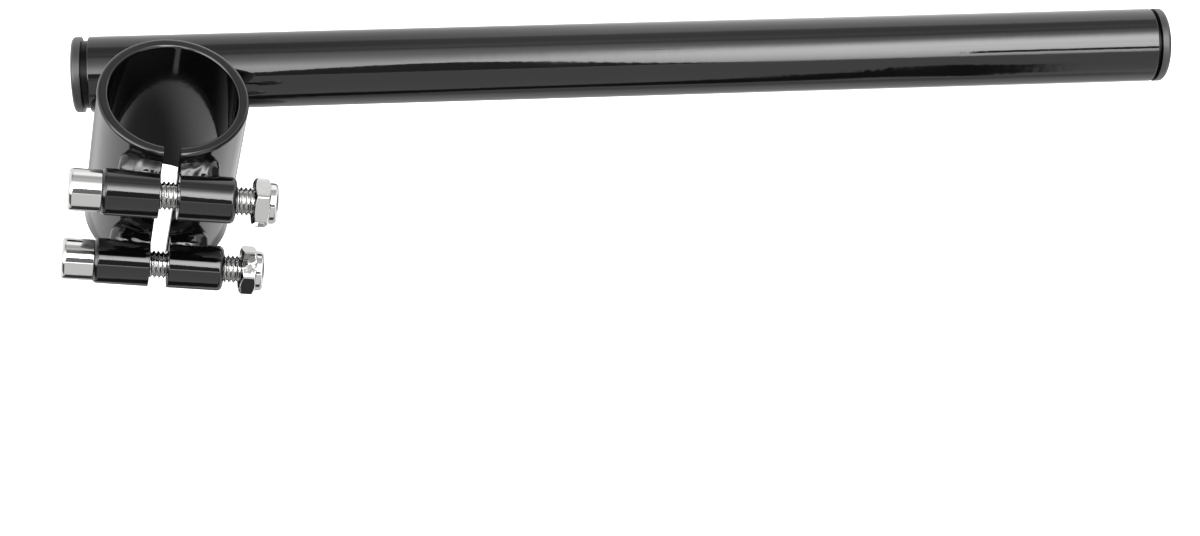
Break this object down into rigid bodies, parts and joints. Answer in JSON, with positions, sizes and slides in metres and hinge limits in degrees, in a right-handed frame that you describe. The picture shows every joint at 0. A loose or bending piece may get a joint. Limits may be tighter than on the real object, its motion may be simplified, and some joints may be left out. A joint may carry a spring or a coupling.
{
  "type": "clip-on handlebar",
  "caption": "Straight black handlebar tube with end plugs, welded behind a slit round fork clamp that chromed socket screws and lock nuts close.",
  "frame": {"origin": "centre of the fork clamp's bore, at the middle of its length", "axes": "+Z along the fork, +X the way the bar reaches out, -Y through the clamp's slit"},
  "size_m": [0.3275, 0.0768, 0.0902],
  "materials": {
    "black_paint": "gloss black paint on welded steel, slight orange peel",
    "chrome": "bright chrome plate",
    "black_plastic": "satin black moulded plastic",
    "nylon": "natural nylon"
  },
  "bodies": {
    "root": {"handlebar_tube": "black_paint", "inner_end_plug": "black_plastic", "outer_end_plug": "black_plastic", "clamp_sleeve": "black_paint", "bar_weld_above": "black_paint", "bar_weld_below": "black_paint", "upper_head_boss": "black_paint", "upper_head_boss_weld": "black_paint", "upper_nut_boss": "black_paint", "upper_nut_boss_weld": "black_paint", "upper_clamp_bolt": "chrome", "upper_lock_nut": "chrome", "upper_nut_insert": "nylon", "lower_head_boss": "black_paint", "lower_head_boss_weld": "black_paint", "lower_nut_boss": "black_paint", "lower_nut_boss_weld": "black_paint", "lower_clamp_bolt": "chrome", "lower_lock_nut": "chrome", "lower_nut_insert": "nylon"}
  },
  "joints": []
}
